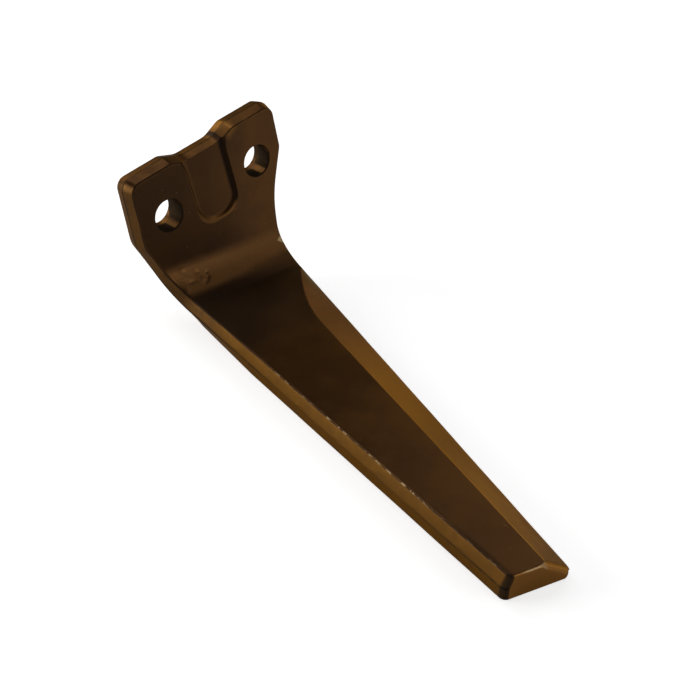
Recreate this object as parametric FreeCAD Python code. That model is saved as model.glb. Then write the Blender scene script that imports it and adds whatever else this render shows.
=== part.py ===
import FreeCAD, Part
import math
import os

from FreeCAD import Placement, Rotation, Vector

# A forged one-piece power harrow tine, lying on the flat back of its blade.
# The head stands at the rear, the blade runs forward along -Y and +Z is up.
# The origin lies on the rear face of the head, midway between the two bolt holes.

# Bar
THICKNESS = 16.0            # head and blade, face to back
BEND_RADIUS = 24.0          # hollow side of the bend
BEND_ANGLE = 85.0           # turn from head to blade
HEAD_TO_BEND = 38.5         # hole line to the start of the bend
HEAD_SKEW = 14.0            # hole line against the fold line of the bend

# Bolt holes
HOLE_SPACING = 70.0
HOLE_DIAMETER = 19.5
HOLE_RIM_ROUND = 0.8

# Head outline, in the plane of the front face
HEAD_TOP = 29.2             # hole line to the top of the ears
HEAD_LEFT_TOP = 53.2        # half widths from the middle of the hole line
HEAD_RIGHT_TOP = 55.4
HEAD_RIGHT_SHOULDER = 54.5
LEFT_SHOULDER_DROP = 12.0   # hole line down to the left shoulder
TOP_CORNER_ROUND = 6.0
LEFT_SHOULDER_ROUND = 16.0
RIGHT_SHOULDER_ROUND = 5.0
NECK_ROUND = 90.0           # long hollow under the right shoulder
NECK_DROP = 18.7            # fold direction, hole line to the deepest part of the neck

# Notch between the ears
NOTCH_HALF_WIDTH = 23.5
NOTCH_FLOOR_HALF_WIDTH = 12.0
NOTCH_DEPTH = 4.8
NOTCH_RIM_ROUND = 5.0
NOTCH_FLOOR_ROUND = 14.0

# Recess in the front face of the head
RECESS_HALF_WIDTH = 15.6
RECESS_BOTTOM = 20.8        # hole line down to the round end
RECESS_DEPTH = 1.8
RECESS_WALL_ANGLE = 42.0
RECESS_CORNER_ROUND = 12.0
RECESS_WAIST_ROUND = 20.0   # where its sides start to flare
RECESS_MOUTH_FLARE = 3.0
RECESS_FLOOR_ROUND = 1.0
RECESS_RIM_ROUND = 0.6

# Forging walls: both halves lean out to a trimmed flash line at half thickness
FRONT_REACH = 2.0           # flash line past the front edge
BACK_REACH = 1.2            # flash line past the back edge
FLASH_LAND = 1.2
BEND_TUCK = 3.3             # the stretched back draws in round the bend
ROOT_TUCK = 3.0
TIP_SPREAD = 0.6

# Neck rails across the bend, measured across the fold direction
NECK_LEFT = 44.6            # at the start of the bend
NECK_LEFT_SLOPE = 0.60
NECK_RIGHT = 48.9
NECK_RIGHT_SLOPE = 0.12

# Blade
BLADE_LENGTH = 272.0        # end of the bend to the tip, on the left edge
ROOT_LEFT = 31.6
LEFT_SLOPE = -0.1045        # sideways run of the left edge
ROOT_RIGHT_FACE = 49.6
ROOT_RIGHT_EDGE = 58.2
RIGHT_EDGE_SLOPE = -0.291
EDGE_DEPTH = 11.0           # face down to the cutting edge
EDGE_LAND = 2.4
BEVEL_FLARE_LENGTH = 58.0   # end of the bend to the full bevel
BEVEL_FLARE_SLOPE = -0.85
BEVEL_START = 15.6          # face boundary of the bevel at the end of the flare
BEVEL_SLOPE = -0.2514
TIP_SKEW = 0.268
TIP_LEFT_ROUND = 4.0
TIP_RIGHT_ROUND = 3.0

# Worn outer edges
FRONT_EDGE_ROUND = 1.6
BACK_EDGE_ROUND = 1.6

# Working margins
MARGIN = 2.5
REACH = 90.0
OUTSIDE_ROUND = 1.0         # corners that are cut away later
BEND_STATIONS = 7
FLARE_STATIONS = 5
NEAR = 0.02                 # points this close count as touching
ZONE_FIT = 0.005            # rounded zones are joined within this

TURN = math.radians(BEND_ANGLE)
SKEW = math.radians(HEAD_SKEW)
HALF = THICKNESS / 2
BEND_RUN = BEND_RADIUS * TURN
HEAD_PLACE = Placement(Vector(), Rotation(Vector(1, 0, 0), BEND_ANGLE) * Rotation(Vector(0, 0, 1), HEAD_SKEW))
FOLD_PLACE = Placement(Vector(), Rotation(Vector(1, 0, 0), BEND_ANGLE))
BEND_CENTRE = FOLD_PLACE.multVec(Vector(0, -HEAD_TO_BEND, THICKNESS + BEND_RADIUS))


def fold_to_head(across, down):
    """Turn a point of the fold frame into the head's own frame."""
    x = across * math.cos(SKEW) - down * math.sin(SKEW)
    y = -across * math.sin(SKEW) - down * math.cos(SKEW)
    return x, y


def corner_lines(corners, grow):
    """The sides of a polygon, each moved outward by grow."""
    lines = []
    for (x0, y0, _), (x1, y1, _) in zip(corners, corners[1:] + corners[:1]):
        along = Vector(x1 - x0, y1 - y0, 0).normalize()
        outward = Vector(along.y, -along.x, 0)
        lines.append((Vector(x0, y0, 0) + outward * grow, along))
    return lines


def meet(first, second):
    """Where two lines cross."""
    (p, d), (q, e) = first, second
    cross = d.x * e.y - d.y * e.x
    gap = q - p
    return p + d * ((gap.x * e.y - gap.y * e.x) / cross)


def rounded_wire(corners, grow, level):
    """A closed outline (x, y, corner radius), run anticlockwise, grown outward and set at a level."""
    lines = corner_lines(corners, grow)
    edges = []
    last = None
    first = None
    for index, (_, _, radius) in enumerate(corners):
        before = lines[index - 1]
        after = lines[index]
        corner = meet(before, after)
        turn = math.atan2(before[1].x * after[1].y - before[1].y * after[1].x, before[1].dot(after[1]))
        size = max(radius + math.copysign(grow, turn), 0.2)
        setback = size * math.tan(abs(turn) / 2)
        start = corner - before[1] * setback
        end = corner + after[1] * setback
        bisector = (after[1] - before[1]).normalize()
        middle = corner + bisector * (size / math.cos(turn / 2) - size)
        if last is None:
            first = start
        else:
            edges.append(Part.LineSegment(last, start).toShape())
        edges.append(Part.Arc(start, middle, end).toShape())
        last = end
    edges.append(Part.LineSegment(last, first).toShape())
    wire = Part.Wire(edges)
    wire.translate(Vector(0, 0, level))
    return wire


def polygon_wire(points):
    return Part.makePolygon(points + points[:1])


def wall(front_reach, back_reach, upper, lower):
    """Depths through the thickness and how far past the front edge the wall stands at each."""
    front_lean = front_reach / upper
    back_lean = back_reach / (THICKNESS - lower)
    return [(-MARGIN, -front_lean * MARGIN), (upper, front_reach), (lower, front_reach),
            (THICKNESS + MARGIN, front_reach - back_reach - back_lean * MARGIN)]


def flash_wall(tuck=0.0, slant=1.0):
    """The usual wall, with the flash line at half thickness."""
    return wall(FRONT_REACH * slant, BACK_REACH * slant + tuck, HALF - FLASH_LAND / 2, HALF + FLASH_LAND / 2)


def head_corners():
    """The head's outline on the front face, anticlockwise from the top left corner."""
    shoulder_y = -LEFT_SHOULDER_DROP
    lean = math.atan(NECK_LEFT_SLOPE) - SKEW
    start_x, start_y = fold_to_head(-NECK_LEFT, HEAD_TO_BEND)
    left_x = start_x - (shoulder_y - start_y) * math.tan(lean)
    left_low = fold_to_head(-NECK_LEFT + NECK_LEFT_SLOPE * REACH / 3, HEAD_TO_BEND + REACH / 3)
    right_low = fold_to_head(NECK_RIGHT + NECK_RIGHT_SLOPE * REACH / 3, HEAD_TO_BEND + REACH / 3)
    neck = fold_to_head(NECK_RIGHT - NECK_RIGHT_SLOPE * (HEAD_TO_BEND - NECK_DROP), NECK_DROP)
    return [
        (-HEAD_LEFT_TOP, HEAD_TOP, TOP_CORNER_ROUND),
        (left_x, shoulder_y, LEFT_SHOULDER_ROUND),
        left_low + (OUTSIDE_ROUND,),
        right_low + (OUTSIDE_ROUND,),
        neck + (NECK_ROUND,),
        (HEAD_RIGHT_SHOULDER, 0.0, RIGHT_SHOULDER_ROUND),
        (HEAD_RIGHT_TOP, HEAD_TOP, TOP_CORNER_ROUND),
        (NOTCH_HALF_WIDTH, HEAD_TOP, NOTCH_RIM_ROUND),
        (NOTCH_FLOOR_HALF_WIDTH, HEAD_TOP - NOTCH_DEPTH, NOTCH_FLOOR_ROUND),
        (-NOTCH_FLOOR_HALF_WIDTH, HEAD_TOP - NOTCH_DEPTH, NOTCH_FLOOR_ROUND),
        (-NOTCH_HALF_WIDTH, HEAD_TOP, NOTCH_RIM_ROUND),
    ]


def head_envelope():
    """Drafted walls of the head, down to the start of the bend."""
    corners = head_corners()
    wires = [rounded_wire(corners, out, THICKNESS - depth) for depth, out in flash_wall()]
    walls = Part.makeLoft(wires, True, True)
    walls.Placement = HEAD_PLACE
    keep = Part.makeBox(4 * REACH, 2 * REACH, 2 * REACH, Vector(-2 * REACH, -HEAD_TO_BEND, -REACH))
    keep.Placement = FOLD_PLACE
    return walls.common(keep)


def ease(begin, begin_slope, end, end_slope, run, share):
    """A smooth rail between two ends with given slopes."""
    s = share
    return ((2 * s ** 3 - 3 * s ** 2 + 1) * begin + (s ** 3 - 2 * s ** 2 + s) * run * begin_slope
            + (3 * s ** 2 - 2 * s ** 3) * end + (s ** 3 - s ** 2) * run * end_slope)


def section_points(left, left_wall, right, right_wall):
    """One cross-section as (across, depth), left wall first, run past both faces."""
    points = [(left - out, depth) for depth, out in left_wall]
    return points + [(right + out, depth) for depth, out in reversed(right_wall)]


def bend_section(angle):
    """The envelope's cross-section at an angle into the bend."""
    share = angle / TURN
    blend = share ** 2 * (3 - 2 * share)
    slant = math.sqrt(1 + NECK_LEFT_SLOPE ** 2)
    tuck = ROOT_TUCK * blend + BEND_TUCK * math.sin(math.pi * share)
    left = ease(-NECK_LEFT, NECK_LEFT_SLOPE, -ROOT_LEFT, LEFT_SLOPE, BEND_RUN, share)
    left_wall = flash_wall(tuck, slant + (1 - slant) * blend)
    face = ease(NECK_RIGHT, NECK_RIGHT_SLOPE, ROOT_RIGHT_FACE, RIGHT_EDGE_SLOPE, BEND_RUN, share)
    slant = math.sqrt(1 + NECK_RIGHT_SLOPE ** 2)
    edge = ease(NECK_RIGHT + FRONT_REACH * slant, NECK_RIGHT_SLOPE, ROOT_RIGHT_EDGE, RIGHT_EDGE_SLOPE,
                BEND_RUN, share)
    upper = (HALF - FLASH_LAND / 2) * (1 - blend) + EDGE_DEPTH * blend
    lower = (HALF + FLASH_LAND / 2) * (1 - blend) + (EDGE_DEPTH + EDGE_LAND) * blend
    right_wall = wall(edge - face, BACK_REACH * slant + BEND_TUCK * math.sin(math.pi * share), upper, lower)
    rest = TURN - angle
    out = Vector(0, math.sin(rest), -math.cos(rest))
    points = section_points(left, left_wall, face, right_wall)
    return polygon_wire([BEND_CENTRE + out * (BEND_RADIUS + d) + Vector(a, 0, 0) for a, d in points])


def blade_section(run):
    """The envelope's cross-section at a distance past the end of the bend."""
    if run < BEVEL_FLARE_LENGTH:
        share = run / BEVEL_FLARE_LENGTH
        face = ease(ROOT_RIGHT_FACE, BEVEL_FLARE_SLOPE, BEVEL_START, BEVEL_SLOPE, BEVEL_FLARE_LENGTH, share)
        tuck = ROOT_TUCK * (1 - share)
    else:
        past = run - BEVEL_FLARE_LENGTH
        face = BEVEL_START + BEVEL_SLOPE * past
        tuck = -TIP_SPREAD * past / (BLADE_LENGTH - BEVEL_FLARE_LENGTH)
    left = -ROOT_LEFT + LEFT_SLOPE * run
    edge = ROOT_RIGHT_EDGE + RIGHT_EDGE_SLOPE * run
    right_wall = wall(edge - face, BACK_REACH, EDGE_DEPTH, EDGE_DEPTH + EDGE_LAND)
    points = section_points(left, flash_wall(tuck), face, right_wall)
    base = BEND_CENTRE - Vector(0, run, BEND_RADIUS)
    return polygon_wire([base + Vector(a, 0, -d) for a, d in points])


def neck_envelope():
    """Walls round the bend."""
    sections = [bend_section(TURN * step / (BEND_STATIONS - 1)) for step in range(BEND_STATIONS)]
    return Part.makeLoft(sections, True, False)


def blade_envelope():
    """Walls of the blade, past the tip, then cut to the slanted end."""
    flare = [blade_section(BEVEL_FLARE_LENGTH * step / (FLARE_STATIONS - 1)) for step in range(FLARE_STATIONS)]
    root = Part.makeLoft(flare, True, False)
    long_run = [blade_section(run) for run in (BEVEL_FLARE_LENGTH, BLADE_LENGTH + REACH / 2)]
    walls = root.fuse(Part.makeLoft(long_run, True, True))
    left_tip = -ROOT_LEFT + LEFT_SLOPE * BLADE_LENGTH
    keep = Part.makeBox(4 * REACH, 2 * BLADE_LENGTH, 2 * REACH, Vector(-2 * REACH, 0, -REACH))
    keep.rotate(Vector(), Vector(0, 0, 1), -math.degrees(math.atan(TIP_SKEW)))
    keep.translate(BEND_CENTRE + Vector(left_tip, -BLADE_LENGTH, -BEND_RADIUS))
    return walls.common(keep)


def bent_bar():
    """The bar from the side: head, bend and blade in one thickness."""
    rest = TURN / 2
    out = Vector(0, math.sin(TURN), -math.cos(TURN))
    middle = Vector(0, math.sin(rest), -math.cos(rest))
    down = Vector(0, 0, -1)
    up = FOLD_PLACE.multVec(Vector(0, 1, 0)) * (HEAD_TO_BEND + REACH)
    forward = Vector(0, -(BLADE_LENGTH + REACH), 0)
    inner, outer = BEND_RADIUS, BEND_RADIUS + THICKNESS
    c = BEND_CENTRE
    edges = [
        Part.LineSegment(c + out * inner + up, c + out * inner).toShape(),
        Part.Arc(c + out * inner, c + middle * inner, c + down * inner).toShape(),
        Part.LineSegment(c + down * inner, c + down * inner + forward).toShape(),
        Part.LineSegment(c + down * inner + forward, c + down * outer + forward).toShape(),
        Part.LineSegment(c + down * outer + forward, c + down * outer).toShape(),
        Part.Arc(c + down * outer, c + middle * outer, c + out * outer).toShape(),
        Part.LineSegment(c + out * outer, c + out * outer + up).toShape(),
        Part.LineSegment(c + out * outer + up, c + out * inner + up).toShape(),
    ]
    profile = Part.Face(Part.Wire(edges))
    profile.translate(Vector(-REACH, 0, 0))
    return profile.extrude(Vector(2 * REACH, 0, 0))


def bolt_hole(side):
    hole = Part.makeCylinder(HOLE_DIAMETER / 2, THICKNESS + 2 * MARGIN,
                             Vector(side * HOLE_SPACING / 2, 0, -MARGIN))
    hole.Placement = HEAD_PLACE.multiply(hole.Placement)
    return hole


def recess():
    """The shallow pocket between the holes, open into the notch."""
    slope = math.tan(math.radians(RECESS_WALL_ANGLE))
    mouth_y = HEAD_TOP + MARGIN
    waist_y = HEAD_TOP - 2 * NOTCH_DEPTH
    mouth = RECESS_HALF_WIDTH + RECESS_MOUTH_FLARE
    corners = [
        (-mouth, mouth_y, OUTSIDE_ROUND),
        (-RECESS_HALF_WIDTH, waist_y, RECESS_WAIST_ROUND),
        (-RECESS_HALF_WIDTH, -RECESS_BOTTOM, RECESS_CORNER_ROUND),
        (RECESS_HALF_WIDTH, -RECESS_BOTTOM, RECESS_CORNER_ROUND),
        (RECESS_HALF_WIDTH, waist_y, RECESS_WAIST_ROUND),
        (mouth, mouth_y, OUTSIDE_ROUND),
    ]
    floor = rounded_wire(corners, -RECESS_DEPTH * slope, THICKNESS - RECESS_DEPTH)
    top = rounded_wire(corners, MARGIN * slope, THICKNESS + MARGIN)
    tool = Part.makeLoft([floor, top], True, True)
    level = THICKNESS - RECESS_DEPTH
    edges = [e for e in tool.Edges if all(abs(p.z - level) < NEAR for p in e.discretize(3))]
    tool = tool.makeFillet(RECESS_FLOOR_ROUND, edges).Solids[0]
    tool.Placement = HEAD_PLACE
    return tool


def along_bar(point):
    """Distance down the front face from the hole line, and depth under that face."""
    arm = point - BEND_CENTRE
    if arm.y < 0:
        return HEAD_TO_BEND + BEND_RUN - arm.y, -arm.z - BEND_RADIUS
    flat = FOLD_PLACE.inverse().multVec(point)
    if flat.y > -HEAD_TO_BEND:
        return -flat.y, THICKNESS - flat.z
    turned = TURN - math.atan2(arm.y, -arm.z)
    return HEAD_TO_BEND + BEND_RADIUS * turned, math.hypot(arm.y, arm.z) - BEND_RADIUS


def at_depth(edge, depth):
    return all(abs(along_bar(point)[1] - depth) < NEAR for point in edge.discretize(5))


def on_fold_line(edge):
    """True for the edges across the bar where two zones meet."""
    ends = [along_bar(point)[0] for point in edge.discretize(3)]
    return any(all(abs(end - fold) < NEAR for end in ends) for fold in (HEAD_TO_BEND, HEAD_TO_BEND + BEND_RUN))


def round_outline(zone):
    """Round a zone's outer edges, front and back."""
    for depth, radius in ((0.0, FRONT_EDGE_ROUND), (THICKNESS, BACK_EDGE_ROUND)):
        edges = [e for e in zone.Edges if at_depth(e, depth) and not on_fold_line(e)]
        zone = zone.makeFillet(radius, edges).Solids[0]
    return zone


def tip_corner(blade, side):
    """Edges through the thickness at one corner of the blade's end."""
    end = BEND_CENTRE + Vector(-ROOT_LEFT + LEFT_SLOPE * BLADE_LENGTH, -BLADE_LENGTH, 0)
    outward = Vector(-TIP_SKEW, -1, 0).normalize()
    middle = end.x + (ROOT_RIGHT_EDGE + ROOT_LEFT) / 4
    edges = []
    for edge in blade.Edges:
        first, last = edge.Vertexes[0].Point, edge.Vertexes[-1].Point
        at_end = all(abs((p - end).dot(outward)) < NEAR for p in (first, last))
        if at_end and abs(first.z - last.z) > NEAR and (first.x - middle) * side > 0:
            edges.append(edge)
    return edges


def rim_of(plate, tool):
    """Edges that a cutting tool leaves in the two flat faces."""
    rim = []
    for edge in plate.Edges:
        level = at_depth(edge, 0.0) or at_depth(edge, THICKNESS)
        if level and all(tool.Shells[0].distToShape(Part.Vertex(p))[0] < NEAR for p in edge.discretize(3)):
            rim.append(edge)
    return rim


def head(bar):
    """The flat head with its bolt holes and recess."""
    plate = round_outline(bar.common(head_envelope()).Solids[0])
    cuts = ((bolt_hole(-1), HOLE_RIM_ROUND), (bolt_hole(1), HOLE_RIM_ROUND), (recess(), RECESS_RIM_ROUND))
    for tool, radius in cuts:
        plate = plate.cut(tool).Solids[0]
        plate = plate.makeFillet(radius, rim_of(plate, tool)).Solids[0]
    return plate


def blade(bar):
    flat = bar.common(blade_envelope()).Solids[0]
    flat = flat.makeFillet(TIP_LEFT_ROUND, tip_corner(flat, -1)).Solids[0]
    flat = flat.makeFillet(TIP_RIGHT_ROUND, tip_corner(flat, 1)).Solids[0]
    return round_outline(flat)


def build():
    bar = bent_bar()
    neck = round_outline(bar.common(neck_envelope()).Solids[0])
    return head(bar).fuse([neck, blade(bar)], ZONE_FIT).Solids[0]


os.makedirs("parts", exist_ok=True)
tine = build()
tine.exportStep("parts/tine.step")
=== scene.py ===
import math

import bmesh
import bpy
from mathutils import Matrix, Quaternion, Vector


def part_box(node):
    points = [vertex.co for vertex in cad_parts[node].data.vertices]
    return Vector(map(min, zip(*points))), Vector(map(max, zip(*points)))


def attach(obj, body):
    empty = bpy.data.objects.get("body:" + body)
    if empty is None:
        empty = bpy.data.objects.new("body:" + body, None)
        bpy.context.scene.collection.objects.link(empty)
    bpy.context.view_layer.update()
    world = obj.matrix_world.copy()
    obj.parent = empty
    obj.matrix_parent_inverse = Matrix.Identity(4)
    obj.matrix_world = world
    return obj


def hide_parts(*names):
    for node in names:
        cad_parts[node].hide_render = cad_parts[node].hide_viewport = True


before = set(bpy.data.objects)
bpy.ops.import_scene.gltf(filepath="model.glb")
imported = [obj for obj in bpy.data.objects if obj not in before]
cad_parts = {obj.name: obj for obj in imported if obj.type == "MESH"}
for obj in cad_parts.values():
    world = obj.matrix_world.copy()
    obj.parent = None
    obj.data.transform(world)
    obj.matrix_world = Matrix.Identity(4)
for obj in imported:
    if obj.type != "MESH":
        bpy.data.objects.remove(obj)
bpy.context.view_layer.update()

bl_info = {
    "name": "Harrow Tine Studio",
    "version": (1, 0, 0),
    "blender": (4, 5, 0),
    "location": "View3D > Sidebar > Tine",
    "description": "Dresses a forged harrow tine and sets a plain studio round it",
    "category": "Object",
}

NODE = "tine"
PIECE = "forged_tine"
MM = 0.001


# Working on a mesh

def only(piece):
    """Deselect everything, then select this piece and make it active."""
    bpy.ops.object.select_all(action="DESELECT")
    piece.select_set(True)
    bpy.context.view_layer.objects.active = piece


def select_faces(piece, wanted):
    """In edit mode, select only the faces that pass a test."""
    mesh = bmesh.from_edit_mesh(piece.data)
    for face in mesh.faces:
        face.select_set(wanted(face))
    mesh.select_flush_mode()
    bmesh.update_edit_mesh(piece.data)


def select_nearest(piece, point):
    """In edit mode, select only the vertex nearest to a point, and return its normal."""
    mesh = bmesh.from_edit_mesh(piece.data)
    nearest = min(mesh.verts, key=lambda vert: (vert.co - point).length_squared)
    for vert in mesh.verts:
        vert.select_set(vert == nearest)
    mesh.select_flush_mode()
    bmesh.update_edit_mesh(piece.data)
    return nearest.normal.copy()


def slice_evenly(low, high, axis, step):
    """In edit mode, cut all faces by planes across one axis, at most a step apart."""
    cuts = math.ceil((high[axis] - low[axis]) / step)
    across = Vector((axis == 0, axis == 1, axis == 2))
    for number in range(1, cuts):
        bpy.ops.mesh.select_all(action="SELECT")
        place = low[axis] + (high[axis] - low[axis]) * number / cuts
        bpy.ops.mesh.bisect(plane_co=across * place, plane_no=across)


def press(piece, point, depth, reach):
    """In edit mode, push the surface in at a point, or pull it out where the depth is negative.

    The push fades out over a reach.
    """
    normal = select_nearest(piece, Vector(point) * MM)
    bpy.ops.transform.translate(
        value=normal * -depth, use_proportional_edit=True, proportional_edit_falloff="SMOOTH",
        proportional_size=reach)


# Shader maths

class Socket:
    """Wraps an output socket so that maths on it adds nodes."""

    def __init__(self, shader, output):
        self.shader = shader
        self.output = output

    def __add__(self, other):
        return self.shader.maths("ADD", self, other)

    def __radd__(self, other):
        return self.shader.maths("ADD", other, self)

    def __sub__(self, other):
        return self.shader.maths("SUBTRACT", self, other)

    def __rsub__(self, other):
        return self.shader.maths("SUBTRACT", other, self)

    def __mul__(self, other):
        return self.shader.maths("MULTIPLY", self, other)

    def __rmul__(self, other):
        return self.shader.maths("MULTIPLY", other, self)

    def __truediv__(self, other):
        return self.shader.maths("DIVIDE", self, other)

    def __rtruediv__(self, other):
        return self.shader.maths("DIVIDE", other, self)

    def __pow__(self, other):
        return self.shader.maths("POWER", self, other)

    def __rpow__(self, other):
        return self.shader.maths("POWER", other, self)

    def __lt__(self, other):
        return self.shader.maths("LESS_THAN", self, other)

    def __gt__(self, other):
        return self.shader.maths("GREATER_THAN", self, other)

    def __neg__(self):
        return self * -1.0

    def __abs__(self):
        return self.shader.maths("ABSOLUTE", self)

    def at_least(self, other):
        return self.shader.maths("MAXIMUM", self, other)

    def at_most(self, other):
        return self.shader.maths("MINIMUM", self, other)

    def clamp(self):
        return self.at_least(0.0).at_most(1.0)

    def rises(self, low, high):
        """0 below low, 1 above high, with a soft change between."""
        values = {"Value": self, "From Min": low, "From Max": high, "To Min": 0.0, "To Max": 1.0}
        return self.shader.node("ShaderNodeMapRange", {"interpolation_type": "SMOOTHSTEP"}, values)

    def falls(self, low, high):
        """1 below low, 0 above high."""
        return 1.0 - self.rises(low, high)


class Shader:
    """Builds the nodes of one material, or of the world."""

    def __init__(self, owner):
        self.owner = owner
        owner.use_nodes = True
        self.tree = owner.node_tree
        self.tree.nodes.clear()

    def node(self, kind, settings=None, inputs=None, output=0):
        """Any node: its settings first, then the values or links of its sockets."""
        made = self.tree.nodes.new(kind)
        for key, value in (settings or {}).items():
            setattr(made, key, value)
        for key, value in (inputs or {}).items():
            if isinstance(value, Socket):
                self.tree.links.new(value.output, made.inputs[key])
            else:
                made.inputs[key].default_value = value
        return Socket(self, made.outputs[output])

    def maths(self, operation, *values):
        return self.node("ShaderNodeMath", {"operation": operation}, dict(enumerate(values)))

    def noise(self, scale, detail=4.0, roughness=0.55, stretch=(1.0, 1.0, 1.0)):
        """Smooth noise, about 0.5 on average; scale is in lumps per metre."""
        spot = self.node("ShaderNodeTexCoord", output="Object")
        spot = self.node("ShaderNodeMapping", {}, {"Vector": spot, "Scale": stretch})
        values = {"Vector": spot, "Scale": scale, "Detail": detail, "Roughness": roughness}
        return self.node("ShaderNodeTexNoise", {}, values)

    def parts(self, vector):
        """The three numbers of a vector."""
        split = self.node("ShaderNodeSeparateXYZ", {}, {"Vector": vector})
        return tuple(Socket(self, output) for output in split.output.node.outputs)

    def mix(self, share, first, second):
        """Two colours mixed; a colour is a socket or three numbers."""
        colours = [value if isinstance(value, Socket) else tuple(value) + (1.0,) for value in (first, second)]
        values = {0: share, 6: colours[0], 7: colours[1]}
        return self.node("ShaderNodeMix", {"data_type": "RGBA"}, values, output=2)

    def finish(self, surface, kind="ShaderNodeOutputMaterial"):
        end = self.tree.nodes.new(kind)
        self.tree.links.new(surface.output, end.inputs["Surface"])
        return self.owner


def distance(first, second):
    """How far away a point is, from how far it is along two axes."""
    return (first * first + second * second) ** 0.5


# Settings

def length(name, description, default):
    return bpy.props.FloatProperty(
        name=name, description=description, default=default, precision=5, subtype="DISTANCE", unit="LENGTH")


def tint(name, description, default):
    return bpy.props.FloatVectorProperty(
        name=name, description=description, default=default, size=3, subtype="COLOR")


class TineForging(bpy.types.PropertyGroup):
    """Sizes of the hammered skin."""
    grid: length("Grid", "Spacing of the mesh lines on flat faces", 3.5 * MM)
    swell: length("Swell", "Depth of the broad waves left by forging", 0.25 * MM)
    swell_size: length("Swell size", "Length of the broad waves", 38.0 * MM)
    skin: length("Skin", "Depth of the small lumps in the scaled skin", 0.04 * MM)
    skin_size: length("Skin size", "Length of the small lumps", 11.0 * MM)
    dent_depth: length("Dent depth", "Depth of a full dent from the hammer", 0.95 * MM)
    marked_reach: length("Marked reach", "Radius of the hammered patch in the bend", 24.0 * MM)


class TineCoat(bpy.types.PropertyGroup):
    """Colours and gloss of the coat."""
    body: tint("Coat", "Dark brown of the coat", (0.110, 0.051, 0.021))
    thin: tint("Thin coat", "Lighter brown where the coat is thin", (0.20, 0.090, 0.024))
    # painted highlight: this light colour paints glints on the left edge, the bend's right end and the tip's
    # top edge, as well as bare specks
    worn_and_glint: tint("Worn edge", "Bare metal that shows on rubbed edges", (0.58, 0.42, 0.22))
    # painted shade: this near black darkens edges, the recess's right wall, the head's left side, the left
    # ear and the start of the bevel
    shade_and_grime: tint("Grime", "Near black where the coat and dirt gather", (0.022, 0.012, 0.008))
    # painted shade: this dull near black darkens the bores, the tip's left corner, the blade's root and the
    # tip's left edge, and it also darkens the flash line
    shade_and_dirt: tint("Dirt", "Dull black dirt caked in corners and bores", (0.032, 0.022, 0.014))
    # painted light: this golden brown paints light on the bevel, the tip, the bend, the top walls and the
    # recess's edges
    lit_and_rubbed: tint("Rubbed coat", "Golden brown where the coat is rubbed", (0.30, 0.135, 0.036))
    # painted highlight on the bevel near the tip
    bevel_highlight: tint("Polished coat", "Bright golden brown of the bevel near the tip", (0.60, 0.27, 0.062))
    # painted light: the left walls are coloured lighter for the side the light falls on
    lit_golden: tint("Golden coat", "Golden brown of the left walls", (0.205, 0.092, 0.012))
    roughness: bpy.props.FloatProperty(
        name="Roughness", description="Roughness of the coat", default=0.33, min=0.05, max=1.0,
        subtype="FACTOR")


class TineStage(bpy.types.PropertyGroup):
    """Floor, lamps and camera."""
    floor: tint("Floor", "Colour of the floor", (0.86, 0.86, 0.86))
    world: bpy.props.FloatProperty(
        name="Room light", description="Strength of the plain light from all round", default=0.01, min=0.0)
    lens: bpy.props.FloatProperty(
        name="Lens", description="Focal length for a 36 mm wide sensor, in millimetres", default=59.02,
        min=10.0)


# The coat. All places are in metres: the head's back is near y 0 and the blade's tip at y -0.324.

BEND_Y, BEND_Z = -0.043203, -0.034867                # axis of the bend
BACK_RADIUS = 0.040                                  # from that axis to the bar's back
LEAN = math.radians(5.0)                             # how far the head leans past upright
PARTING_HEIGHT = 8.0 * MM                            # height of the flash line over the bar's back
HOLES = ((-0.03396, -0.00774), (0.03396, 0.00913))   # x and z of the bolt holes
HOLE_REACH = 10.1 * MM
SEAT_LOW, SEAT_HIGH = 4.6 * MM, 6.2 * MM             # where the bores' dark front part begins
SKEW = math.radians(14.0)                            # how far the row of holes is turned from level
RECESS_HALF_WIDTH = 15.6 * MM
RECESS_BOTTOM = 20.8 * MM
RECESS_ROUND = 12.0 * MM
RECESS_SHADE_WIDTH = 4.5 * MM                              # width of the painted shade line in the recess
NOTCH_HIGHLIGHT_SPOT = (0.0135, 0.0345)                          # x and z of the painted highlight beside the notch
EDGE_GLINT_SPOT = (0.0495, -0.0226, -0.0472)                    # painted highlight at the right end of the bend
LEFT_EDGE_SLOPE, LEFT_EDGE_X = 0.1016, -0.02832      # the blade's left edge, seen from above
MARKED_SPOT = Vector((-0.0220, -0.0265, -0.0515))    # middle of the hammer marks
EDGE_TINT = (0.60, 0.47, 0.30, 1.0)                  # colour of the coat's shine at a flat angle


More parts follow.
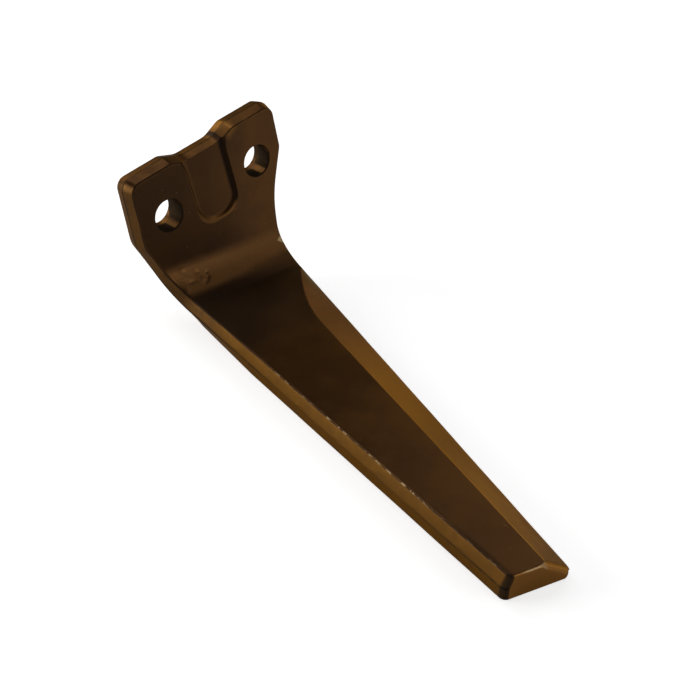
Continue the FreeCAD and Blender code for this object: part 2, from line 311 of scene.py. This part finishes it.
class Spot:
    """Where a point of the surface lies, which way it faces, and the masks that several finishes share."""

    def __init__(self, s):
        self.s = s
        self.x, self.y, self.z = s.parts(s.node("ShaderNodeTexCoord", output="Object"))
        self.right, self.back, self.up = s.parts(s.node("ShaderNodeTexCoord", output="Normal"))
        self.left = -self.right
        self.front = -self.back
        # Forwards from the head and down from its middle, then along and across the row of bolt holes
        self.run = -self.y
        self.low = -self.z
        self.wide = self.x * math.cos(SKEW) + self.z * math.sin(SKEW)
        self.tall = self.z * math.cos(SKEW) - self.x * math.sin(SKEW)
        self.height, self.facing = self.along_bar()
        self.cloud = s.noise(60.0, detail=6.0, roughness=0.6)
        self.grain = s.noise(900.0, detail=3.0, roughness=0.6)
        self.streak = s.noise(130.0, detail=3.0)

        self.on_blade = self.run.rises(0.04, 0.09)
        self.on_front = self.facing.rises(0.8, 0.95)
        self.on_face = self.y.rises(-0.020, -0.018)
        self.on_top = self.up.rises(0.6, 0.8) * self.z.rises(0.0, 0.01)
        self.on_bend = self.low.rises(0.038, 0.046) * self.y.rises(-0.036, -0.030) * self.on_front
        self.bevel = self.right.rises(0.12, 0.22) * self.up.rises(0.5, 0.6) * self.run.rises(0.03, 0.05)
        self.at_tip = self.run.rises(0.300, 0.312)
        self.end = self.front.rises(0.75, 0.9) * self.at_tip
        self.end_edge = self.front.rises(0.30, 0.45) * self.up.rises(0.25, 0.35) * self.at_tip
        self.left_wall = self.left.rises(0.7, 0.85)
        self.left_ear = self.left_wall * (1.0 - self.on_blade)
        self.wall = abs(self.facing).falls(0.30, 0.42) * (1.0 - self.end)
        self.hole = self.in_holes()
        recess_wall, self.recess_floor = self.in_recess()
        self.inset = recess_wall * self.on_face * self.facing.rises(-0.4, -0.2)

    def along_bar(self):
        """Height of a point over the bar's back, and how far its surface turns to the bar's front."""
        out, rise = self.y - BEND_Y, self.z - BEND_Z
        lean_cos, lean_sin = math.cos(LEAN), math.sin(LEAN)
        on_blade = out < 0.0
        on_head = (out * lean_sin + rise * lean_cos) > 0.0
        on_bend = 1.0 - on_blade - on_head
        radius = distance(out, rise)
        reach = on_head * (out * lean_cos - rise * lean_sin) - on_blade * rise + on_bend * radius
        inward = -((out * self.back + rise * self.up) / radius)
        turned = on_head * (self.up * lean_sin - self.back * lean_cos)
        return BACK_RADIUS - reach, turned + on_blade * self.up + on_bend * inward

    def in_holes(self):
        """1 inside the two bolt holes."""
        inside = 0.0
        for middle_x, middle_z in HOLES:
            inside = (distance(self.x - middle_x, self.z - middle_z) < HOLE_REACH) + inside
        return inside

    def in_recess(self):
        """The recess's wall, fading to 0 a little way inside it, and its floor; both are 0 outside."""
        past_side = (abs(self.wide) - (RECESS_HALF_WIDTH - RECESS_ROUND)).at_least(0.0)
        past_bottom = (-self.tall - (RECESS_BOTTOM - RECESS_ROUND)).at_least(0.0)
        inside = RECESS_ROUND - distance(past_side, past_bottom)
        wall = (inside > -0.2 * MM) * inside.falls(1.5 * MM, RECESS_SHADE_WIDTH)
        return wall, inside.rises(1.0 * MM, 4.0 * MM)

    def parting(self):
        """The flash line along the walls, broken up and nearly gone on the middle of the blade."""
        line = abs(self.height - PARTING_HEIGHT).falls(0.4 * MM, 1.0 * MM)
        broken = (self.streak.rises(0.38, 0.58) * 0.6 + 0.3 + self.left_ear).clamp()
        middle = self.run.rises(0.10, 0.14) * self.run.falls(0.24, 0.28)
        return line * broken * self.wall * (1.0 - self.hole) * (1.0 - middle * 0.7)


def lit_and_rubbed_share(spot):
    """Where the coat is painted lighter: painted light and highlights on the bevel, the tip's end and edge,
    the bend, the top walls, the face's top edges and the recess floor, plus random lighter streaks on the
    walls.
    """
    run = spot.run
    # painted light on the right of the bend
    lit_bend_right = spot.x.rises(-0.01, 0.045) * spot.y.rises(-0.07, -0.03)
    # painted highlight on the rim beside the notch
    from_highlight_spot = abs(spot.x - NOTCH_HIGHLIGHT_SPOT[0]) + abs(spot.z - NOTCH_HIGHLIGHT_SPOT[1])
    notch = spot.on_top * abs(spot.wide).falls(0.016, 0.024)
    # painted highlight just inside the face's top edges
    face_edge_highlight = spot.facing.rises(0.84, 0.88) * spot.facing.falls(0.96, 0.99)
    face_edge_highlight = face_edge_highlight * spot.up.rises(0.12, 0.25) * spot.z.rises(0.0, 0.01)
    # painted light: the bevel lighter towards the tip, the tip's end and its top edge, the band of the bend,
    # the top walls and the recess floor
    share = spot.bevel * (run.rises(0.11, 0.20) * 0.35 + run.rises(0.20, 0.30) * 0.6)
    share = share + spot.end * 0.55 + spot.end_edge * 0.6 + run.rises(0.28, 0.315) * 0.1
    share = share + spot.on_bend * 0.25 + lit_bend_right * 0.04 + from_highlight_spot.falls(2.0 * MM, 9.0 * MM) * 0.6
    share = share + notch * 0.2 + spot.on_top * spot.x.rises(0.01, 0.02) * 0.2 + face_edge_highlight * 0.4
    share = share + spot.recess_floor * spot.on_face * spot.facing.rises(0.2, 0.4) * 0.12
    return (share + spot.wall * spot.streak.rises(0.46, 0.66) * 0.14).clamp()


def shade_and_grime_share(spot):
    """Where the coat is painted near black: painted shade on the rounded edges, the recess's right wall, the
    head's left side, the left ear and the crease beside the bevel, plus random dark blotches on the walls.
    """
    bend_right = spot.right.rises(0.10, 0.20) * spot.x.rises(0.020, 0.030) * spot.low.rises(0.030, 0.040)
    # painted shade along the rounded edges
    rim_shade = spot.facing.rises(0.30, 0.48) * spot.facing.falls(0.80, 0.90) * (1.0 - spot.end_edge)
    rim_shade = rim_shade * (1.0 - spot.inset.rises(0.0, 0.01)) * (1.0 - bend_right)
    # painted shade on the recess's right wall
    recess_shade = spot.inset * spot.wide.rises(0.0, 0.008) * spot.tall.rises(-0.018, -0.013)
    # painted shade on the left of the head's face
    head_left_shade = (1.0 - spot.x.rises(-0.01, 0.04) * 0.8) * (1.0 - spot.on_blade)
    head_left_shade = head_left_shade * spot.on_front * (1.0 - spot.on_bend)
    # painted shade in the crease beside the bevel
    crease_shade = spot.right.rises(0.03, 0.08) * spot.right.falls(0.24, 0.34) * spot.up.rises(0.7, 0.85)
    crease_shade = crease_shade * spot.run.rises(0.15, 0.22)
    blotch = spot.wall * spot.streak.falls(0.36, 0.52)
    # the left ear is painted darker as shade
    share = rim_shade * 0.7 + recess_shade * 0.8 + head_left_shade * 0.45 + spot.left_ear * 0.42
    return (share + blotch * 0.14 + crease_shade * 0.5).clamp()


def shade_and_dirt_share(spot, parting):
    """Where a dull near black lies on the coat: a dark line along the flash line, and painted shade in the
    bores, on the tip's left corner, on the blade's root below the bend and beside the tip's left edge.
    """
    # the lit strip along each bore is kept out of the painted shade
    lit = spot.up.rises(0.62, 0.76) * spot.up.falls(0.90, 0.96) * spot.left.rises(0.1, 0.3)
    lit = lit * (0.6 + spot.x.rises(-0.01, 0.01) * 0.4)
    bore = spot.hole * (1.0 - lit)
    # painted shade in the bores, full in their front part
    in_front = spot.height.rises(SEAT_LOW, SEAT_HIGH)
    bores = bore * in_front * 0.95 + bore * (1.0 - in_front) * (0.93 - spot.x.rises(-0.01, 0.01) * 0.16)
    # painted shade on the tip's rounded left corner, spreading wider towards the bottom
    corner = spot.left.rises(0.30, 0.45) * spot.front.rises(0.35, 0.5) * spot.at_tip
    corner_shade_spread = spot.left.rises(0.5, 0.7) * (spot.run - spot.height * 0.12).rises(0.3095, 0.3115)
    # painted shade on the blade's root below the bend
    root = (spot.x * 0.1 + spot.run + spot.cloud * 6.0 * MM).rises(0.0325, 0.0375)
    root = root * spot.run.falls(0.080, 0.120) * spot.up.rises(0.3, 0.6) * (1.0 - spot.bevel)
    # painted shade on the blade's top beside its left edge near the tip
    from_edge = spot.x - spot.y * LEFT_EDGE_SLOPE - LEFT_EDGE_X
    tip_edge = from_edge.falls(1.8 * MM, 4.5 * MM) * spot.up.rises(0.7, 0.9) * spot.run.rises(0.265, 0.295)
    share = parting * 0.8 + bores + corner.at_least(corner_shade_spread) * 0.85
    return (share + root * 0.45 + tip_edge * 0.5).clamp()


def bare_and_glint_share(spot):
    """Where the light metal colour shows: painted glints along the blade's left edge, painted highlights at
    the right end of the bend and on the tip's top edge, and a few bare specks.
    """
    # painted glints in streaks along the blade's left edge
    glint_noise = spot.s.noise(420.0, detail=4.0, stretch=(1.0, 0.5, 1.0)).rises(0.50, 0.60)
    glint_reach = spot.run.rises(0.10, 0.16) * spot.run.falls(0.24, 0.28) + spot.run.rises(0.27, 0.29) * 0.25
    left_edge = spot.facing.rises(0.45, 0.55) * spot.facing.falls(0.85, 0.92) * spot.left.rises(0.1, 0.3)
    # painted highlight at the right end of the bend
    from_glint_spot = abs(spot.x - EDGE_GLINT_SPOT[0]) + abs(spot.y - EDGE_GLINT_SPOT[1]) + abs(spot.z - EDGE_GLINT_SPOT[2])
    edge_glint = (from_glint_spot + spot.cloud * 3.0 * MM).falls(3.5 * MM, 5.5 * MM)
    end_glint = spot.end_edge * spot.x.rises(-0.054, -0.049) * spot.x.falls(-0.041, -0.037)
    specks = spot.s.noise(560.0, detail=2.0).rises(0.735, 0.765) * spot.on_front
    return (left_edge * glint_noise * glint_reach * 0.6 + edge_glint * 0.8 + end_glint * 0.4 + specks * 0.35).clamp()


def surface_relief(spot, parting):
    """Fine relief of the skin: soft clouds, grain, pits, the flash line and the hammered patch."""
    pits = spot.s.noise(240.0, detail=5.0, roughness=0.65).rises(0.60, 0.74)
    from_marks = abs(spot.x - MARKED_SPOT.x) + abs(spot.y - MARKED_SPOT.y) * 2.0
    hammered = from_marks.falls(10.0 * MM, 26.0 * MM) * spot.on_front
    hammered = hammered * spot.s.noise(330.0, detail=4.0, roughness=0.6)
    relief = spot.cloud * 0.25 + spot.grain * 0.05 - pits * 0.16 - parting * 0.5 + hammered * 0.6
    return spot.s.node("ShaderNodeBump", {}, {"Strength": 0.6, "Distance": 0.35 * MM, "Height": relief})


def coat_material(coat):
    """Thin dark brown coat over forged steel, with light and shade painted into its colour."""
    s = Shader(bpy.data.materials.new("tine_coat"))
    spot = Spot(s)
    parting = spot.parting()
    lit_and_rubbed = lit_and_rubbed_share(spot)
    shade_and_grime = shade_and_grime_share(spot)
    bump = surface_relief(spot, parting)

    thinness = (s.noise(14.0, detail=3.0) * 0.6 + spot.cloud * 0.4).rises(0.42, 0.62) * 0.35
    # painted shade at the start of the bevel
    bevel_start_shade = spot.bevel * spot.run.falls(0.08, 0.16)
    # painted highlight along the recess's edges, weaker towards the top
    step_highlight = spot.inset * (1.0 - spot.wide.rises(-0.012, -0.004) * spot.tall.rises(-0.018, -0.014))
    step_highlight = step_highlight * (1.0 - spot.tall.rises(-0.016, -0.010) * 0.5)
    colour = s.mix(thinness, coat.body, coat.thin)
    # painted light and highlights in the coat's colour
    colour = s.mix(lit_and_rubbed, colour, coat.lit_and_rubbed)
    # painted highlight on the bevel near the tip
    colour = s.mix(spot.bevel * spot.run.rises(0.22, 0.30) * 0.45, colour, coat.bevel_highlight)
    # painted light on the left walls
    colour = s.mix(spot.left_wall * 0.6, colour, coat.lit_golden)
    # painted shade in the coat's colour
    colour = s.mix((shade_and_grime + bevel_start_shade * 0.55).clamp(), colour, coat.shade_and_grime)
    # painted highlight along the recess's edges
    colour = s.mix(step_highlight * 0.55, colour, coat.lit_and_rubbed)
    # painted glints and highlights, and bare specks
    colour = s.mix(bare_and_glint_share(spot), colour, coat.worn_and_glint)

    # The two noises add about 0.12 between them
    roughness = (coat.roughness - 0.12 + spot.cloud * 0.16 + spot.grain * 0.10 + shade_and_grime * 0.3).clamp()
    metallic = (0.87 + spot.bevel * 0.03 + lit_and_rubbed * 0.06 - shade_and_grime * 0.5).clamp()
    painted = s.node("ShaderNodeBsdfPrincipled", {}, {
        "Base Color": colour, "Roughness": roughness, "Metallic": metallic, "Specular IOR Level": 0.2,
        "Specular Tint": EDGE_TINT, "Normal": bump})
    # painted shade as a dull diffuse near black, which also darkens the flash line
    shade_and_dirt = s.node("ShaderNodeBsdfDiffuse", {}, {"Color": tuple(coat.shade_and_dirt) + (1.0,), "Normal": bump})
    return s.finish(s.node("ShaderNodeMixShader", {}, {0: shade_and_dirt_share(spot, parting), 1: painted, 2: shade_and_dirt}))


# The forging

# Each hammer mark's place in millimetres, its share of the full dent depth, and its reach in millimetres
DENTS = (
    ((-13.6, -24.6, -49.9), 0.45, 2.2),
    ((-13.4, -26.3, -51.8), 0.55, 2.2),
    ((-14.6, -27.9, -53.2), 0.55, 2.2),
    ((-17.0, -28.7, -54.0), 0.45, 2.2),
    ((-16.4, -26.2, -51.6), -0.25, 2.4),
    ((-29.6, -21.3, -44.7), 0.35, 2.4),
    ((-27.7, -26.3, -51.9), 0.35, 2.6),
    ((-25.5, -26.4, -52.0), 0.35, 2.6),
    ((-23.3, -26.4, -52.0), 0.30, 2.6),
    ((-30.5, -28.6, -53.9), -0.30, 3.0),
    ((-28.0, -23.6, -48.6), -0.25, 3.4),
    ((-20.5, -23.0, -47.8), 0.30, 3.0),
)
SOFT_ANGLE = math.radians(28.0)   # faces that meet at less are shaded as one
FLAT_ANGLE = math.radians(0.1)    # faces that meet at less are one flat face


def in_marked_patch(face, reach):
    """Whether a face lies inside the bend, within reach of the hammer marks."""
    near = (face.calc_center_median() - MARKED_SPOT).length < reach
    return near and face.normal.z > 0.1 and face.normal.y < 0.0


def displace(piece, name, size, depth):
    """Sink the surface by up to a depth, in soft lumps of a size."""
    texture = bpy.data.textures.new(name, "CLOUDS")
    texture.noise_scale = size
    texture.noise_depth = 1
    sunk = piece.modifiers.new(name, "DISPLACE")
    sunk.texture = texture
    sunk.texture_coords = "LOCAL"
    sunk.mid_level = 0.0
    sunk.strength = -depth
    bpy.ops.object.modifier_apply(modifier=name)


class TINE_OT_forging(bpy.types.Operator):
    """Shape the forged tine from the solid and give it its coat"""
    bl_idname = "tine.forging"
    bl_label = "Forged tine"

    def execute(self, context):
        size = context.scene.tine_forging
        only(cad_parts[NODE])
        bpy.ops.object.duplicate()
        piece = context.object
        piece.name = PIECE
        only(piece)
        low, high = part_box(NODE)

        bpy.ops.object.mode_set(mode="EDIT")
        bpy.ops.mesh.select_all(action="SELECT")
        bpy.ops.mesh.remove_doubles(threshold=0.001 * MM)
        bpy.ops.mesh.dissolve_limited(angle_limit=FLAT_ANGLE)
        slice_evenly(low, high, 0, size.grid)
        slice_evenly(low, Vector((high.x, BEND_Y, high.z)), 1, size.grid)
        slice_evenly(Vector((low.x, low.y, BEND_Z)), high, 2, size.grid)
        select_faces(piece, lambda face: in_marked_patch(face, size.marked_reach))
        bpy.ops.mesh.subdivide(number_cuts=2)
        for point, depth, reach in DENTS:
            press(piece, point, depth * size.dent_depth, reach * MM)
        bpy.ops.object.mode_set(mode="OBJECT")
        displace(piece, "waves", size.swell_size, size.swell)
        displace(piece, "skin", size.skin_size, size.skin)
        bpy.ops.object.shade_smooth_by_angle(angle=SOFT_ANGLE)
        even = piece.modifiers.new("even_normals", "WEIGHTED_NORMAL")
        even.mode = "FACE_AREA"
        even.keep_sharp = True
        bpy.ops.object.modifier_apply(modifier=even.name)

        piece.data.materials.clear()
        piece.data.materials.append(coat_material(context.scene.tine_coat))
        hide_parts(NODE)
        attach(piece, "root")
        return {"FINISHED"}


# The studio

SUBJECT = Vector((0.0, -0.14, -0.03))   # what the lamps point at
LAMP_DISTANCE = 1.6
# Each lamp's direction from the subject, its size in metres and its power in watts
LAMPS = {
    "lamp_left": ((-0.75, 0.6, 0.15), 0.9, 19.0),
    "lamp_back": ((0.0, 0.9, 0.42), 0.9, 4.2),
    "lamp_above": ((0.0, 0.5, 0.87), 0.9, 2.4),
    "lamp_above_right": ((0.56, -0.15, 0.81), 0.9, 0.85),
    "lamp_blade": ((0.70, 0.29, 0.65), 0.7, 0.85),
    "lamp_right": ((0.77, 0.63, 0.16), 0.9, 1.5),
    "lamp_side": ((0.95, 0.3, 0.12), 0.9, 2.6),
    "lamp_front_right": ((0.66, -0.62, 0.34), 1.5, 3.0),
}
TIP_LAMP = (Vector((0.15, -0.75, 0.2)), 0.3, 0.4)
FLOOR_SIZE = 8.0
LIT_REACH, FLOOR_FADE = 0.9, 1.6        # the floor glows a little more past the lamps' light
CAMERA_PLACE = (-0.38738, -0.52515, 0.31349)
CAMERA_TURN = Quaternion((0.82609569, 0.42766211, -0.19783392, -0.30908376))
WHITE = (1.0, 1.0, 1.0, 1.0)


def lamp(name, place, size, power):
    """A soft square lamp aimed at the subject."""
    bpy.ops.object.select_all(action="DESELECT")
    bpy.ops.object.light_add(type="AREA", location=place)
    made = bpy.context.object
    made.name = name
    made.data.size = size
    made.data.energy = power
    made.rotation_mode = "QUATERNION"
    made.rotation_quaternion = (SUBJECT - place).to_track_quat("-Z", "Y")


def floor_material(colour):
    """Pale floor that the camera sees as white, with the tine's shadow on it."""
    s = Shader(bpy.data.materials.new("studio_floor"))
    straight = s.node("ShaderNodeLightPath", output="Is Camera Ray")
    mirrored = s.node("ShaderNodeLightPath", output="Is Glossy Ray")
    plain = s.node("ShaderNodeBsdfDiffuse", {}, {"Color": tuple(colour) + (1.0,)})
    x, y = s.parts(s.node("ShaderNodeTexCoord", output="Object"))[:2]
    unlit = distance(x, y).rises(LIT_REACH, FLOOR_FADE)
    strength = straight * (unlit * 0.28 + 0.72) + mirrored * 0.2
    glow = s.node("ShaderNodeEmission", {}, {"Color": WHITE, "Strength": strength})
    return s.finish(s.node("ShaderNodeAddShader", {}, {0: plain, 1: glow}))


def room_world(light):
    """Faint plain light from all round, which the camera sees as white."""
    s = Shader(bpy.data.worlds.new("room"))
    strength = s.node("ShaderNodeLightPath", output="Is Camera Ray") * (1.0 - light) + light
    background = s.node("ShaderNodeBackground", {}, {"Color": WHITE, "Strength": strength})
    return s.finish(background, "ShaderNodeOutputWorld")


class TINE_OT_stage(bpy.types.Operator):
    """Set the floor, the lamps and the camera"""
    bl_idname = "tine.stage"
    bl_label = "Studio"

    def execute(self, context):
        stage = context.scene.tine_stage
        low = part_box(NODE)[0]
        bpy.ops.object.select_all(action="DESELECT")
        bpy.ops.mesh.primitive_plane_add(size=FLOOR_SIZE, location=(0.0, 0.0, low.z))
        floor = context.object
        floor.name = "floor"
        bpy.ops.object.transform_apply(location=True, rotation=True, scale=True)
        floor.data.materials.append(floor_material(stage.floor))

        for name, (direction, size, power) in LAMPS.items():
            lamp(name, SUBJECT + LAMP_DISTANCE * Vector(direction).normalized(), size, power)
        lamp("lamp_tip", *TIP_LAMP)
        context.scene.world = room_world(stage.world)

        bpy.ops.object.select_all(action="DESELECT")
        bpy.ops.object.camera_add(location=CAMERA_PLACE)
        camera = context.object
        camera.name = "camera"
        camera.rotation_mode = "QUATERNION"
        camera.rotation_quaternion = CAMERA_TURN
        camera.data.sensor_width = 36.0
        camera.data.lens = stage.lens
        camera.data.clip_start = 0.01
        context.scene.camera = camera
        context.scene.view_settings.view_transform = "Standard"
        return {"FINISHED"}


class TINE_PT_panel(bpy.types.Panel):
    """Lists the tine's settings, with buttons that build the tine and the studio"""
    bl_idname = "TINE_PT_panel"
    bl_label = "Harrow tine"
    bl_space_type = "VIEW_3D"
    bl_region_type = "UI"
    bl_category = "Tine"

    def draw(self, context):
        for group, operator in BOXES:
            settings = getattr(context.scene, group)
            box = self.layout.box()
            for name in settings.__annotations__:
                box.prop(settings, name)
            if operator:
                box.operator(operator)


BOXES = (("tine_forging", None), ("tine_coat", "tine.forging"), ("tine_stage", "tine.stage"))
GROUPS = {"tine_forging": TineForging, "tine_coat": TineCoat, "tine_stage": TineStage}
CLASSES = (TineForging, TineCoat, TineStage, TINE_OT_forging, TINE_OT_stage, TINE_PT_panel)


def register():
    for made in CLASSES:
        bpy.utils.register_class(made)
    for name, group in GROUPS.items():
        setattr(bpy.types.Scene, name, bpy.props.PointerProperty(type=group))


def unregister():
    for name in GROUPS:
        delattr(bpy.types.Scene, name)
    for made in reversed(CLASSES):
        bpy.utils.unregister_class(made)


def main():
    register()
    bpy.ops.tine.forging()
    bpy.ops.tine.stage()


if __name__ == "__main__":
    main()
